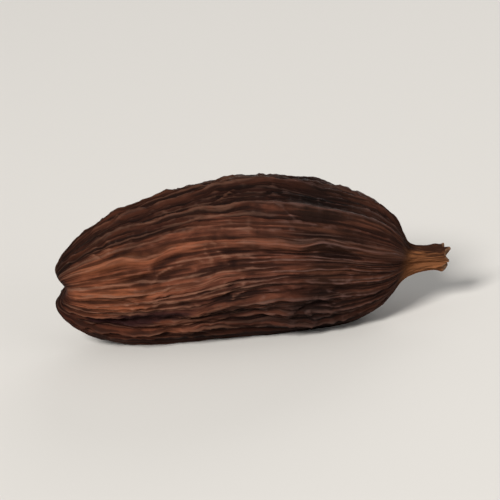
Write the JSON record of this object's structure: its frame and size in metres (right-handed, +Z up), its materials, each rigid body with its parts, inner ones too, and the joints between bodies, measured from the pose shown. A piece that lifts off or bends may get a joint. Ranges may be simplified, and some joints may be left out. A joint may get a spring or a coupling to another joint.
{
  "type": "black cardamom pod",
  "caption": "Dried black cardamom pod lying on its side: a blunt oval husk with a high back, rough lengthwise ribs, a creased flower end and the stub of its stalk.",
  "frame": {"origin": "on the surface that the pod lies on, under the middle of its bounding box", "axes": "+X from the flower end to the stalk, +Z up, and the pictured side faces -Y"},
  "size_m": [0.0244, 0.0114, 0.0098],
  "materials": {
    "husk": "dry and fibrous, matt in the hollows, with a dull sheen on the ribs"
  },
  "bodies": {
    "root": {"pod": "husk"}
  },
  "joints": []
}
